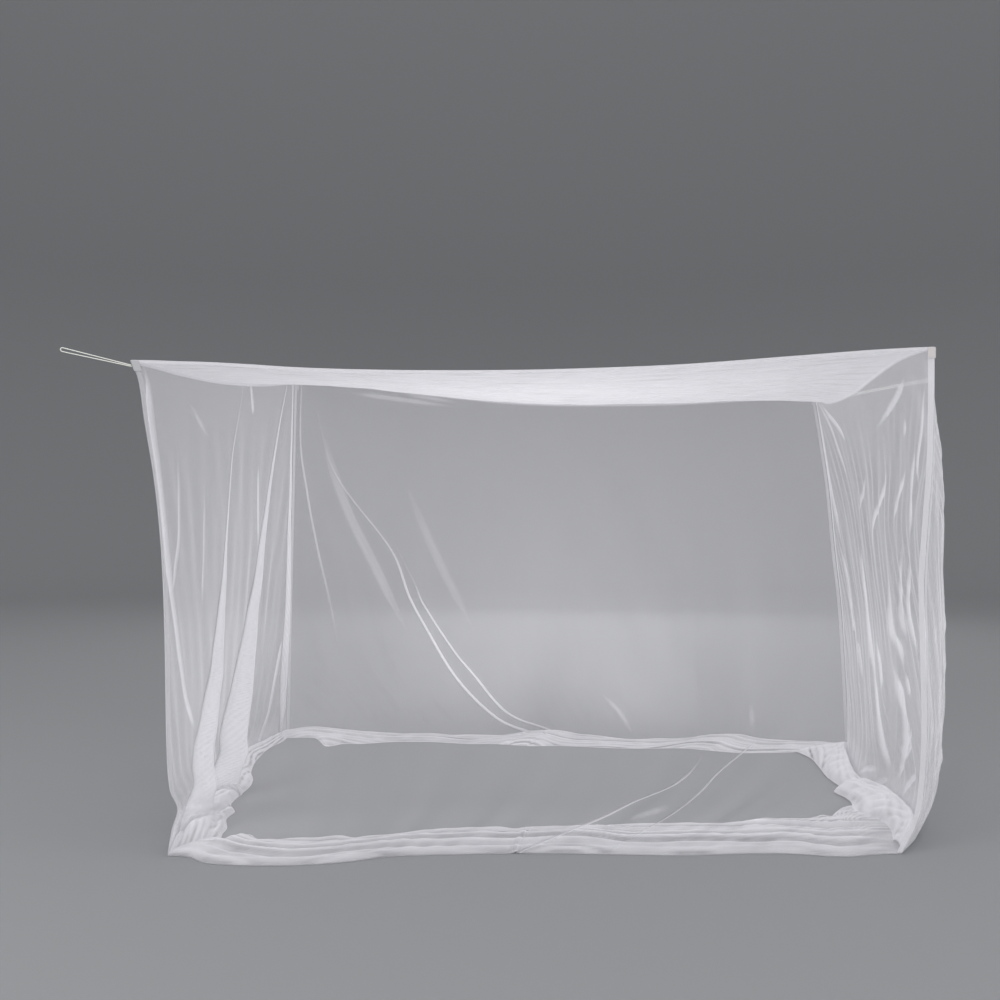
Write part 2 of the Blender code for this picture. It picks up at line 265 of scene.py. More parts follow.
def crowd(
    seed: int, count: int, short: float, long: float, height: float, tilt: float
) -> list[Wave]:
    """A seeded crowd of waves.

    Args:
        seed: the seed of the draw.
        count: how many waves.
        short: the shortest length across the folds, in metres.
        long: the longest length across the folds, in metres.
        height: the height of all of them together.
        tilt: how many times longer a wave is down the cloth than across it.

    Returns:
        The waves.
    """
    draw = np.random.default_rng(seed)
    waves = []
    for _ in range(count):
        length = short * (long / short) ** draw.random()
        side = 1 if draw.random() < 0.5 else -1
        down = side * length * tilt * (TILT_DRAW[0] + TILT_DRAW[1] * draw.random())
        share = height / math.sqrt(count)
        rise = share * (HEIGHT_DRAW[0] + HEIGHT_DRAW[1] * draw.random())
        waves.append(Wave(length, down, rise, TURN * draw.random()))
    return waves


def corner_line(corner: Corner, down: Array) -> Array:
    """The upright seam at a corner.

    Args:
        corner: the corner.
        down: places down the seam.

    Returns:
        Points on the seam, with a last axis of x, y, z.
    """
    places, x, y = zip(*corner.path)
    return np.stack(
        (through(places, x, down), through(places, y, down), corner.z * (1 - down)), axis=-1
    )


def top_of(name: str) -> Array:
    """The top of a corner."""
    return corner_line(CORNERS[name], np.array(0.0))


# ------------------------------------------------------------------ finishes
@dataclass(frozen=True)
class Finish:
    """A finish of one colour and roughness, to which others add what they have."""

    name: str
    colour: Colour
    roughness: float

    def material(self) -> bpy.types.Material:
        """The finish as a material, made on the first call.

        Returns:
            The material.
        """
        made = bpy.data.materials.get(self.name)
        if made is None:
            made = bpy.data.materials.new(self.name)
            made.use_nodes = True
            shader = made.node_tree.nodes["Principled BSDF"]
            shader.inputs["Base Color"].default_value = self.colour
            shader.inputs["Roughness"].default_value = self.roughness
            self.dress(made.node_tree, shader)
        return made

    def dress(self, tree: bpy.types.NodeTree, shader: bpy.types.Node) -> None:
        """Add what this finish has beyond its colour and roughness."""


@dataclass(frozen=True)
class Netting(Finish):
    """Sheer knitted netting: how much it hides grows with its layers and as it turns edge on."""

    cover: float = 0.21  # what one layer hides head on, as an exponent
    edge_on: float = 0.72  # how fast that grows as the cloth turns edge on
    least_facing: float = 0.10
    cell: float = 0.0018  # the mesh of the net
    cell_jitter: float = 0.3
    half_cell: float = 0.45  # from a thread to the middle of a hole, as a share of the cell
    thread: float = 1.7  # cover at a thread and in a hole, as shares of the mean
    hole: float = 0.5
    sheen: float = 0.15
    specular: float = 0.2

    def dress(self, tree: bpy.types.NodeTree, shader: bpy.types.Node) -> None:
        """Add the sheen and the sheerness.

        Args:
            tree: the material's nodes.
            shader: its shader.
        """
        shader.inputs["Sheen Weight"].default_value = self.sheen
        shader.inputs["Specular IOR Level"].default_value = self.specular

        def step(kind: str, first: object, second: object = None) -> bpy.types.NodeSocket:
            """A Math node.

            Args:
                kind: what it works out.
                first: its first value or socket.
                second: its second, if it has one.

            Returns:
                Its output.
            """
            node = tree.nodes.new("ShaderNodeMath")
            node.operation = kind
            for socket, value in zip(node.inputs, (first, second)):
                if isinstance(value, bpy.types.NodeSocket):
                    tree.links.new(value, socket)
                elif value is not None:
                    socket.default_value = value
            return node.outputs[0]

        uv = tree.nodes.new("ShaderNodeUVMap")
        uv.uv_map = "UVMap"
        mesh = tree.nodes.new("ShaderNodeTexVoronoi")
        mesh.feature = "DISTANCE_TO_EDGE"
        mesh.inputs["Scale"].default_value = 1 / self.cell
        mesh.inputs["Randomness"].default_value = self.cell_jitter
        tree.links.new(uv.outputs["UV"], mesh.inputs["Vector"])
        weave = tree.nodes.new("ShaderNodeMapRange")
        weave.inputs["From Max"].default_value = self.half_cell
        weave.inputs["To Min"].default_value = self.thread
        weave.inputs["To Max"].default_value = self.hole
        tree.links.new(mesh.outputs["Distance"], weave.inputs["Value"])

        layers = tree.nodes.new("ShaderNodeAttribute")
        layers.attribute_name = "layers"
        turn = tree.nodes.new("ShaderNodeLayerWeight")
        turn.inputs["Blend"].default_value = 0.5
        facing = step("MAXIMUM", step("SUBTRACT", 1.0, turn.outputs["Facing"]), self.least_facing)
        thick = step("MULTIPLY", layers.outputs["Fac"], weave.outputs["Result"])
        thick = step("DIVIDE", thick, step("POWER", facing, self.edge_on))
        passed = step("EXPONENT", step("MULTIPLY", thick, -self.cover))
        tree.links.new(step("SUBTRACT", 1.0, passed), shader.inputs["Alpha"])


@dataclass(frozen=True)
class Ribbed(Finish):
    """A finish with fine ribs: the weave of a tape, or the twist of a cord."""

    bands: Bands = Bands.LEVEL
    scale: float = 45.0
    distortion: float = 0.4
    strength: float = 0.4
    relief: float = 0.0004

    def dress(self, tree: bpy.types.NodeTree, shader: bpy.types.Node) -> None:
        """Add the ribs.

        Args:
            tree: the material's nodes.
            shader: its shader.
        """
        place = tree.nodes.new("ShaderNodeTexCoord")
        rib = tree.nodes.new("ShaderNodeTexWave")
        rib.bands_direction = self.bands.value
        rib.inputs["Scale"].default_value = self.scale
        rib.inputs["Distortion"].default_value = self.distortion
        bump = tree.nodes.new("ShaderNodeBump")
        bump.inputs["Strength"].default_value = self.strength
        bump.inputs["Distance"].default_value = self.relief
        tree.links.new(place.outputs["Object"], rib.inputs["Vector"])
        tree.links.new(rib.outputs["Fac"], bump.inputs["Height"])
        tree.links.new(bump.outputs["Normal"], shader.inputs["Normal"])


@dataclass(frozen=True)
class Ground(Finish):
    """Plain pale floor that curves up into a plain backdrop all round."""

    def dress(self, tree: bpy.types.NodeTree, shader: bpy.types.Node) -> None:
        """Take the gloss off."""
        shader.inputs["Specular IOR Level"].default_value = 0.0


NETTING = Netting("sheer_netting", (0.86, 0.85, 0.885, 1.0), 0.85)
TAPE = Ribbed("woven_tape", (0.72, 0.68, 0.675, 1.0), 0.8)
NET_TAPE = Ribbed("net_tape", (0.50, 0.50, 0.52, 1.0), 0.8)
CORD = Ribbed(
    "twisted_cord", (0.92, 0.92, 0.86, 1.0), 0.7, Bands.DIAGONAL, 120.0, 0.0, 0.6, 0.0005
)
GROUND = Ground("studio_floor", (0.31, 0.315, 0.323, 1.0), 1.0)


# ------------------------------------------------------------------ making pieces
def put(name: str, data: bpy.types.ID, finish: Finish | None = None) -> bpy.types.Object:
    """A new object in the scene.

    Args:
        name: its name.
        data: its mesh, curve, light or camera.
        finish: its finish, if it has one.

    Returns:
        The object, at the origin.
    """
    made = bpy.data.objects.new(name, data)
    if finish:
        data.materials.append(finish.material())
    bpy.context.scene.collection.objects.link(made)
    return made


def mesh_from(name: str, bm: bmesh.types.BMesh) -> bpy.types.Mesh:
    """A mesh from a finished bmesh, which is freed.

    Args:
        name: the mesh's name.
        bm: the bmesh.

    Returns:
        The mesh.
    """
    mesh = bpy.data.meshes.new(name)
    bm.to_mesh(mesh)
    bm.free()
    return mesh


def grid_on(bm: bmesh.types.BMesh, points: Array) -> dict[bmesh.types.BMVert, tuple[int, int]]:
    """A flat grid moved to its points.

    Args:
        bm: the empty bmesh in which it is made.
        points: the place of each grid point, columns by rows by 3.

    Returns:
        The column and row of each vertex.
    """
    columns, rows = points.shape[0] - 1, points.shape[1] - 1
    bmesh.ops.create_grid(bm, x_segments=columns, y_segments=rows, size=0.5)
    spots = {}
    for vert in bm.verts:
        spots[vert] = round((vert.co.x + 0.5) * columns), round((vert.co.y + 0.5) * rows)
        vert.co = points[spots[vert]]
    return spots


def netting_piece(name: str, points: Array, layers: Array, flat: Array) -> bpy.types.Object:
    """A sheet of netting.

    Args:
        name: the object's name.
        points: the place of each grid point, columns by rows by 3.
        layers: how many layers of cloth lie at each point, columns by rows.
        flat: where each point is on the cut cloth, in metres, columns by rows by 2.

    Returns:
        The object, with its layers as an attribute and its flat places as a UV map.
    """
    bm = bmesh.new()
    amount = bm.verts.layers.float.new("layers")
    uv = bm.loops.layers.uv.new("UVMap")
    spots = grid_on(bm, points)
    for vert, spot in spots.items():
        vert[amount] = layers[spot]
    for face in bm.faces:
        face.smooth = True
        for loop in face.loops:
            loop[uv].uv = flat[spots[loop.vert]]
    return put(name, mesh_from(name, bm), NETTING)


def hang(piece: bpy.types.Object, node: str) -> None:
    """Let a piece stand for a CAD node and ride on the net.

    Args:
        piece: the piece.
        node: the CAD node.
    """
    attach(piece, ROOT)
    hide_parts(node)
    LOG.info("made %s", piece.name)


# ------------------------------------------------------------------ walls
TOP_ROWS = (0.0, 0.004, 0.008, 0.010, 0.014, 0.018, 0.022, 0.026, 0.030, 0.034, 0.040, 0.048)
LOWER_ROWS = 150  # from the last of those to the ground
ROW_CROWDING = 0.0275  # how much closer those lie at the top and at the ground
HEM_ROWS = 36
LEAST_HEIGHT = 0.0008  # of the cloth over the ground
CREST_COLUMNS = 2
FLANK_COLUMNS = 3  # of a shallow fold
FLANK_STEP = 0.012  # a deeper fold has a column for each of these on its flank
LAYERS_ON_FLANK = 2.5  # how many times sooner a fold's layers grow than its depth

LINE_STEPS = 5  # points of a smooth crease from one of its own points to the next
CORE_EDGE = 1.5  # how much steeper a crease's added cloth ends than its ridge
POINTED = 0.35  # a crease's width at its tips as a share of its full width

SEAM_RUN = 0.04  # share of a wall over which its ripples grow from a seam
RIPPLE_RUN = 0.24  # share of the drop over which they grow from the top
RIPPLE_END = 0.05  # share of the drop over which they end above the ground
SLANT_FROM, SLANT_RUN = 0.90, 0.10  # where the folds turn from the wall's way in to the hem's
GATHER_FROM, GATHER_RUN = 0.92, 0.08  # where the gathered cloth above the ground adds layers

# the turned-in cloth: its mound, and waves by count, shortest, longest, height and tilt
MOUND = ((0.0, 0.0), (0.05, 0.5), (0.13, 0.85), (0.5, 1.0), (0.8, 0.75), (0.94, 0.35), (1.0, 0.0))
UNSLANTED = 1e6
SWAY = (5, 0.30, 0.9, 0.016, UNSLANTED)
RIDGES = (6, 0.045, 0.120, 1.0, UNSLANTED)
THREADS = (8, 0.020, 0.046, 1.0, UNSLANTED)
RIDGE_RUN, THREAD_RUN = 1.5, 0.7  # metres along the wall in which one drifts by its width
CRUMPLES, CRUMPLE_TILT = 14, 1.5
RIDGE_LIMIT, CRUMPLE_LIMIT, CRUMPLE_DENSE = 1.5, 3.0, 1.5
THREAD_LIMITS = (-1.2, 1.6)
RIDGE_RISE = 0.28  # share of the pile
RIDGE_LAYERS, THREAD_LAYERS, CRUMPLE_LAYERS = 0.30, 0.42, 0.12  # shares of the cloth's own
HEM_END = 0.06  # share of the wall over which the relief dies out at its ends
EDGE_WIDTH, EDGE_LAYERS = 0.008, 1.4  # of the sewn inner edge
ROLL_LAYERS = 1.2
OVERLAP_RUN = 0.02  # metres over which one wall's hem climbs onto the next one's
HEM_CUT = 0.2  # metres of the cut cloth that lie on the ground


@dataclass
class WallPanel:
    """A wall of the net with the cloth turned in along the ground."""

    name: str
    begin: str
    end: str
    cut: tuple[float, float]
    stations: tuple[Station, ...]
    rims: tuple[Rim, ...]
    folds: tuple[Fold, ...]
    creases: tuple[Crease, ...]
    drifts: tuple[Drift, ...]
    ripple: tuple[Wave, ...]
    seed: int
    plain_step: float = 0.010  # metres from one column of plain cloth to the next
    belly_skew: float = 1.0
    layers: float = 0.85
    gathered: float = 0.0  # layers at the foot for each metre of pile
    top_band: float = 0.010
    top_band_layers: float = 2.2
    roll: float = 0.006
    roll_middle: float = 0.018
    overlap: float = 0.0
    crumple: float = 0.06
    crumple_sizes: tuple[float, float] = (0.07, 0.30)
    end_spread: float = 0.0
    spread_from: float = 0.96
    narrowest_hem: float = 0.024

    def inward(self) -> Array:
        """The level direction into the net, square to the top edge.

        Returns:
            A unit vector.
        """
        a, b = top_of(self.begin), top_of(self.end)
        way = np.array((a[1] - b[1], b[0] - a[0], 0.0))
        return way / np.linalg.norm(way)

    def onward(self) -> Array:
        """The level direction from the wall's beginning to its end."""
        inward = self.inward()
        return np.array((inward[1], -inward[0], 0.0))

    def length(self) -> float:
        """The straight length of the top edge."""
        return float(np.linalg.norm(top_of(self.end) - top_of(self.begin)))

    def plain(self, along: Array, down: Array) -> Array:
        """The wall's surface without its folds.

        Args:
            along: places along the wall.
            down: places down it.

        Returns:
            The points, with a last axis of x, y, z.
        """
        a = corner_line(CORNERS[self.begin], down)
        b = corner_line(CORNERS[self.end], down)
        points = a + (b - a) * along[..., None]
        outward = read(self.stations, "belly", along) * np.sin(math.pi * down**self.belly_skew)
        outward += read(self.stations, "foot", along) * down**2
        points = points - self.inward() * outward[..., None]
        points[..., 2] -= read(self.stations, "sag", along) * (1 - down)
        return points

    def rows(self) -> Array:
        """The rows of the drop, closer at the top and at the ground.

        Returns:
            Their places, as shares of the drop.
        """
        lower = np.linspace(0.0, 1.0, LOWER_ROWS + 1)[1:]
        lower = lower - ROW_CROWDING * np.sin(2 * math.pi * lower)
        return np.concatenate((TOP_ROWS, TOP_ROWS[-1] + (1 - TOP_ROWS[-1]) * lower))

    def columns(self, down: Array) -> tuple[Array, Array, Array, Array]:
        """Where each column is at each row, and what its fold does there.

        Args:
            down: the rows of the drop.

        Returns:
            Four arrays, columns by rows: along, crest share, depth and added layers.
        """
        length = self.length()
        nothing = np.zeros_like(down)
        plain = (nothing, nothing)
        knots = [(nothing, plain, 0.0)]
        for pleat in self.folds:
            centre, depth, mouth, layers = (
                read(pleat.stations, name, down) for name in ("along", "depth", "mouth", "layers")
            )
            values = (np.maximum(depth, 0.0), np.maximum(layers, 0.0))
            for side in (-1.0, -pleat.crest, pleat.crest, 1.0):
                place = centre + side * mouth / 2 / length
                knots.append((place, values, 1.0 if abs(side) < 1 else 0.0))
        knots.append((np.ones_like(down), plain, 0.0))

        made = []
        for (left, values, low), (right, next_values, high) in zip(knots[:-1], knots[1:]):
            if values is next_values and values is not plain:
                if low and high:
                    count = CREST_COLUMNS
                else:
                    count = max(FLANK_COLUMNS, math.ceil(float(np.max(values[0])) / FLANK_STEP))
                shares = low + (high - low) * ease(np.arange(count) / count)
            else:
                count = max(math.ceil(np.max(right - left) * length / self.plain_step), 1)
                values, shares = plain, np.zeros(count)
            for step, share in enumerate(shares):
                along = left + (right - left) * step / count
                extra = values[1] * min(1.0, LAYERS_ON_FLANK * share)
                made.append((along, np.full_like(down, share), values[0], extra))
        made.append((knots[-1][0], nothing, nothing, nothing))
        return tuple(np.stack(part) for part in zip(*made))

    def drift(self, along: Array, down: Array) -> Array:
        """How far the wall's ripples have drifted along it, as a share of its length."""
        first, last = (read(self.drifts, end, down) for end in ("at_begin", "at_end"))
        return first + (last - first) * along

    def hem_way(self, along: Array) -> Array:
        """The level way from the plain ground line to the turned-in cloth's inner edge.

        Args:
            along: places along the wall.

        Returns:
            The ways, places by 3.
        """
        a, b = CORNERS[self.begin], CORNERS[self.end]
        a_in, b_in = np.array((a.hem_x, a.hem_y, 0.0)), np.array((b.hem_x, b.hem_y, 0.0))
        inner = a_in + (b_in - a_in) * along[:, None]
        inner = inner + self.inward() * read(self.rims, "reach", along)[:, None]
        foot = self.plain(along, np.ones_like(along))
        foot[:, 2] = 0.0
        return inner - foot

    def crease_effect(self, u: Array, v: Array) -> tuple[Array, Array]:
        """What the creases do to the cloth.

        Args:
            u: places along the wall, in metres.
            v: places down it, in metres.

        Returns:
            How far the cloth rises, and the layers that it gains.
        """
        rise, layers = np.zeros_like(u), np.zeros_like(u)
        for mark in self.creases:
            corners = np.arange(len(mark.line))
            steps = np.linspace(0, corners[-1], LINE_STEPS * corners[-1] + 1)
            line_u, line_v = (through(corners, column, steps) for column in zip(*mark.line))
            line_u, line_v = line_u * self.length(), line_v * CORNERS[self.begin].z
            shares = steps / steps[-1]
            lasting = ease(np.minimum(shares, 1 - shares) / mark.fade)
            best, core = np.zeros_like(u), np.zeros_like(u)
            for k in range(len(steps) - 1):
                way_u, way_v = line_u[k + 1] - line_u[k], line_v[k + 1] - line_v[k]
                share = ((u - line_u[k]) * way_u + (v - line_v[k]) * way_v) / (way_u**2 + way_v**2)
                share = np.clip(share, 0.0, 1.0)
                away = np.hypot(u - line_u[k] - way_u * share, v - line_v[k] - way_v * share)
                amount = lasting[k] + (lasting[k + 1] - lasting[k]) * share
                nearness = 1 - away / (mark.half_width * (POINTED + (1 - POINTED) * amount))
                best = np.maximum(best, ease(nearness) * amount)
                core = np.maximum(core, ease(np.minimum(1.0, CORE_EDGE * nearness)) * amount)
            rise += mark.rise * best
            layers += mark.layers * core
        return rise, layers

    def hem_relief(self, u: Array, across: Array) -> tuple[Array, Array, Array]:
        """The relief of the turned-in cloth.

        Args:
            u: places along the wall, in metres.
            across: places in from the ground line, in metres.

        Returns:
            Its ridges, threads and crumples, each about 1 high.
        """
        sway = ripples(u, across, crowd(self.seed + 3, *SWAY))
        ridges, threads = (
            ripples(across + sway, u, [wave._replace(length_v=run) for wave in waves])
            for waves, run in (
                (crowd(self.seed + 11, *RIDGES), RIDGE_RUN),
                (crowd(self.seed + 17, *THREADS), THREAD_RUN),
            )
        )
        crumples = crowd(self.seed + 5, CRUMPLES, *self.crumple_sizes, 1.0, CRUMPLE_TILT)
        crumple = np.clip(ripples(u, across, crumples), -CRUMPLE_LIMIT, CRUMPLE_LIMIT)
        return ridges, threads, crumple

    def hem(self, foot: Array, along: Array, depth: Array) -> tuple[Array, Array]:
        """The turned-in cloth on the ground, from the ground line to its inner edge.

        Args:
            foot: the ground line, columns by 3.
            along: where each column is along the ground line.
            depth: how far each column stands in from the plain wall there.

        Returns:
            The points, columns by rows by 3, and the layers, columns by rows.
        """
        way = self.hem_way(along)
        width = np.maximum(way @ self.inward(), self.narrowest_hem)
        left = way * (np.maximum(width - depth, self.narrowest_hem) / width)[:, None]
        reach = np.linalg.norm(left, axis=1)[:, None]
        t = np.arange(1, HEM_ROWS + 1) / HEM_ROWS
        across = reach * t
        points = foot[:, None, :] + left[:, None, :] * t[:, None]

        u = np.broadcast_to((along * self.length())[:, None], across.shape)
        ridges, threads, crumple = self.hem_relief(u, across)
        mound = through(*zip(*MOUND), t)
        pile = read(self.rims, "pile", along)[:, None]
        at_roll = ease(1 - np.abs(across - self.roll_middle) / self.roll_middle)
        ends = ease(np.minimum(along, 1 - along) / HEM_END)[:, None]
        ridges = np.clip(ridges, -RIDGE_LIMIT, RIDGE_LIMIT) * ends
        rise = pile * mound * (1 + RIDGE_RISE * ridges + self.crumple * crumple * ends)
        rise = rise + self.roll * at_roll * ends
        points[..., 2] = LEAST_HEIGHT + np.maximum(rise, 0.0)
        points[..., 2] += self.overlap * np.minimum(1.0, across / OVERLAP_RUN)
        past = ease((along - self.spread_from) / (1 - self.spread_from)) * self.end_spread
        points += self.onward() * (past[:, None] * np.sqrt(t))[..., None]
        uneven = 1 + RIDGE_LAYERS * ridges + THREAD_LAYERS * np.clip(threads, *THREAD_LIMITS)
        uneven = uneven + CRUMPLE_LAYERS * np.clip(crumple, -CRUMPLE_DENSE, CRUMPLE_DENSE)
        layers = read(self.rims, "layers", along)[:, None] * uneven
        layers = layers + EDGE_LAYERS * ease(1 - (reach - across) / EDGE_WIDTH)
        return points, layers + ROLL_LAYERS * at_roll

    def build(self) -> bpy.types.Object:
        """The wall's sheet, dressed as netting.

        Returns:
            The piece.
        """
        down = self.rows()
        along, crest, depth, extra = self.columns(down)
        drop = np.broadcast_to(down, along.shape)
        points = self.plain(along, drop)
        inward = self.inward()
        u, v = along * self.length(), drop * CORNERS[self.begin].z
        near_seam = ease(np.minimum(along, 1 - along) / SEAM_RUN) * ease(drop / SEAM_RUN)
        stream = u - self.drift(along, drop) * self.length()
        wrinkle = ripples(stream, v, self.ripple) * near_seam
        wrinkle = wrinkle * ease(drop / RIPPLE_RUN) * ease((1 - drop) / RIPPLE_END)
        lift, creased = self.crease_effect(u, v)
        way = self.hem_way(along[:, -1])
        hemward = way / np.maximum(way @ inward, self.narrowest_hem)[:, None]
        slant = ease((drop - SLANT_FROM) / SLANT_RUN)[..., None]
        direction = inward + (hemward[:, None, :] - inward) * slant
        points += direction * (depth * crest)[..., None]
        points -= inward * (wrinkle + lift * near_seam)[..., None]
        points[..., 2] = np.maximum(points[..., 2], LEAST_HEIGHT)
        layers = self.layers + extra + creased
        layers = layers + self.top_band_layers * (v < self.top_band)
        piled = self.gathered * read(self.rims, "pile", along)
        layers = layers + piled * ease((drop - GATHER_FROM) / GATHER_RUN)

        hem, hem_layers = self.hem(points[:, -1], along[:, -1], (depth * crest)[:, -1])
        v_hem = CORNERS[self.begin].z + HEM_CUT * np.arange(1, HEM_ROWS + 1) / HEM_ROWS
        flat = np.stack(
            (
                np.concatenate((u, np.repeat(u[:, -1:], HEM_ROWS, axis=1)), axis=1),
                np.concatenate((v, np.broadcast_to(v_hem, hem.shape[:2])), axis=1),
            ),
            axis=-1,
        )
        piece = netting_piece(
            f"{self.name}_cloth",
            np.concatenate((points, hem), axis=1),
            np.concatenate((layers, hem_layers), axis=1),
            flat,
        )
        hang(piece, self.name)
        return piece


# ------------------------------------------------------------------ roof
@dataclass
class RoofPanel:
    """The roof of the net, drawn through the four sagging top edges."""

    edges: tuple[WallPanel, ...]
    cut: tuple[float, float] = (2.05, 1.50)
    columns: int = 170
    rows: int = 190
    sag: float = 0.013
    bowl_power: float = 0.7
    side_fade: float = 8.0  # how soon the left and right edges' sag fades into the roof
    creases: tuple[RoofCrease, ...] = (
        RoofCrease(0.10, 0.34, -0.005, 0.09),
        RoofCrease(0.42, 0.66, 0.004, 0.08),
        RoofCrease(0.94, 0.74, -0.006, 0.09),
    )
    layers: float = 3.2
    seed: int = 23
    waves: tuple[int, float, float] = (16, 0.03, 0.12)  # count, shortest and longest
    wave_tilt: float = 9.0
    ripple_height: float = 0.0022
    ripple_layers: float = 0.6
    calm_edge: float = 0.05  # share of the roof over which the ripples grow from its edges
    seam_width: float = 0.012
    seam_layers: float = 2.4

    def edge(self, wall: WallPanel, along: Array) -> Array:
        """Points on the seam between a wall and the roof."""
        return wall.plain(along, np.zeros_like(along))

    def build(self) -> bpy.types.Object:
        """The roof's sheet, dressed as netting.

        Returns:
            The piece.
        """
        front, right, rear, left = self.edges
        x, y = np.meshgrid(
            np.linspace(0, 1, self.columns + 1), np.linspace(0, 1, self.rows + 1), indexing="ij"
        )
        x3, y3 = x[..., None], y[..., None]
        corners = [top_of(name) for name in CORNERS]
        west = self.edge(left, 1 - y) - corners[0] - (corners[3] - corners[0]) * y3
        east = self.edge(right, y) - corners[1] - (corners[2] - corners[1]) * y3
        low, high = self.edge(front, x), self.edge(rear, 1 - x)
        points = low + (high - low) * y3
        points += west * (1 - x3) ** self.side_fade + east * x3**self.side_fade
        bowl = np.clip(np.sin(math.pi * x) * np.sin(math.pi * y), 0, 1)
        points[..., 2] -= self.sag * bowl**self.bowl_power
        for mark in self.creases:
            middle = mark.at_front + (mark.at_back - mark.at_front) * y
            close = ease(1 - np.abs(x - middle) / mark.half_width)
            points[..., 2] += mark.rise * close * np.sin(math.pi * y)
        u, v = x * self.cut[0], y * self.cut[1]
        drawn = crowd(self.seed, *self.waves, self.ripple_height, self.wave_tilt)
        lengthways = [w._replace(length_u=w.length_v, length_v=w.length_u) for w in drawn]
        wrinkle = ripples(u, v, lengthways)
        inside = ease(np.minimum.reduce((x, 1 - x, y, 1 - y)) / self.calm_edge)
        points[..., 2] += wrinkle * inside
        from_edge = np.minimum.reduce((u, self.cut[0] - u, v, self.cut[1] - v))
        layers = self.layers + self.seam_layers * (from_edge < self.seam_width)
        layers = layers + self.ripple_layers * np.clip(wrinkle / self.ripple_height, -1, 1)
        piece = netting_piece("roof_cloth", points, layers, np.stack((u, v), axis=-1))
        hang(piece, "roof")
        return piece


# ------------------------------------------------------------------ patches and ties
@dataclass
class CornerPatch:
    """A patch of tape folded round the outside of a top corner."""

    ending: WallPanel
    starting: WallPanel
    tape: Ribbed
    leg: float = 0.018
    height: float = 0.022  # share of the drop
    offset: float = 0.0024
    top_drop: float = 0.0016  # of its upper edge under the wall's own
    thickness: float = 0.0013
    cut: tuple[float, float] = (0.038, 0.031)
    steps: int = 8
    rows: int = 5

    def build(self) -> bpy.types.Object:
        """The patch's sheet, dressed as tape.

        Returns:
            The piece.
        """
        name = f"patch_{self.starting.begin}"
        bends = []
        for wall, ending in ((self.ending, True), (self.starting, False)):
            for k in range(self.steps + 1):
                leg = self.leg * (1 - k / self.steps if ending else k / self.steps)
                bends.append((wall, ending, leg / wall.length()))
        down = np.linspace(0.0, self.height, self.rows + 1)
        points = np.zeros((len(bends), len(down), 3))
        for i, (wall, ending, share) in enumerate(bends):
            along = np.full_like(down, 1 - share if ending else share)
            points[i] = wall.plain(along, down) - wall.inward() * self.offset
        points[:, 0, 2] -= self.top_drop
        bm = bmesh.new()
        grid_on(bm, points)
        piece = put(f"{name}_tape", mesh_from(f"{name}_tape", bm), self.tape)
        body = piece.modifiers.new("thickness", "SOLIDIFY")
        body.thickness = self.thickness
        body.offset = 0.0
        hang(piece, name)
        return piece


@dataclass
class CornerTie:
    """A doubled tie from a corner patch out to a narrow loop and back."""

    corner: str
    wall: WallPanel
    far: Point
    loop: float  # its width
    points: int  # of one strand
    diameter: float = 0.0025
    pitch: float = 0.0034  # from strand to strand at the patch
    top_drop: float = 0.00195
    low: float = 0.022  # the patch's lower edge, as a share of the drop
    face_gap: float = 0.00345  # from the seam to the patch's outer face
    loop_points: int = 8

    def route(self) -> list[Vector]:
        """The tie's centreline: out to the loop, round it and back.

        Returns:
            Its points.
        """
        corner = CORNERS[self.corner]
        top = Vector(corner_line(corner, np.array(0.0))) - Vector((0, 0, self.top_drop))
        low = Vector(corner_line(corner, np.array(self.low)))
        far = Vector(self.far)
        run = (far - top).normalized()
        away = Vector((run.x, run.y, 0)).normalized()
        face = (low - top).cross(Vector(self.wall.onward())).normalized()
        cap_tilt = math.sqrt(1 - run.dot(face) ** 2)
        clear = (self.face_gap + self.diameter / 2 * cap_tilt) / away.dot(face)

        def strand(side: int) -> list[Vector]:
            """The points of one strand, from the patch to the loop.

            Args:
                side: 1 for the upper strand, -1 for the lower one.

            Returns:
                Its points.
            """
            half = (low.z - top.z) / 2 + side * self.pitch / 2
            start = top.lerp(low, half / (low.z - top.z)) + away * clear
            end = far + Vector((0, 0, side * self.loop / 2))
            return [start.lerp(end, k / (self.points - 1)) for k in range(self.points)]

        route = strand(1)
        for k in range(1, self.loop_points):
            turn = math.pi * k / self.loop_points
            rise = Vector((0, 0, self.loop / 2 * math.cos(turn)))
            route.append(far + run * self.loop / 2 * math.sin(turn) + rise)
        return route + list(reversed(strand(-1)))

    def build(self) -> bpy.types.Object:
        """The tie as a curve, dressed as cord.

        Returns:
            The piece.
        """
        route = self.route()
        name = f"tie_{self.corner}"
        curve = bpy.data.curves.new(f"{name}_cord", "CURVE")
        curve.dimensions = "3D"
        curve.bevel_depth = self.diameter / 2
        curve.bevel_resolution = 3
        curve.use_fill_caps = True
        spline = curve.splines.new("POLY")
        spline.points.add(len(route) - 1)
        for target, point in zip(spline.points, route):
            target.co = (*point, 1.0)
        piece = put(f"{name}_cord", curve, CORD)
        hang(piece, name)
        return piece


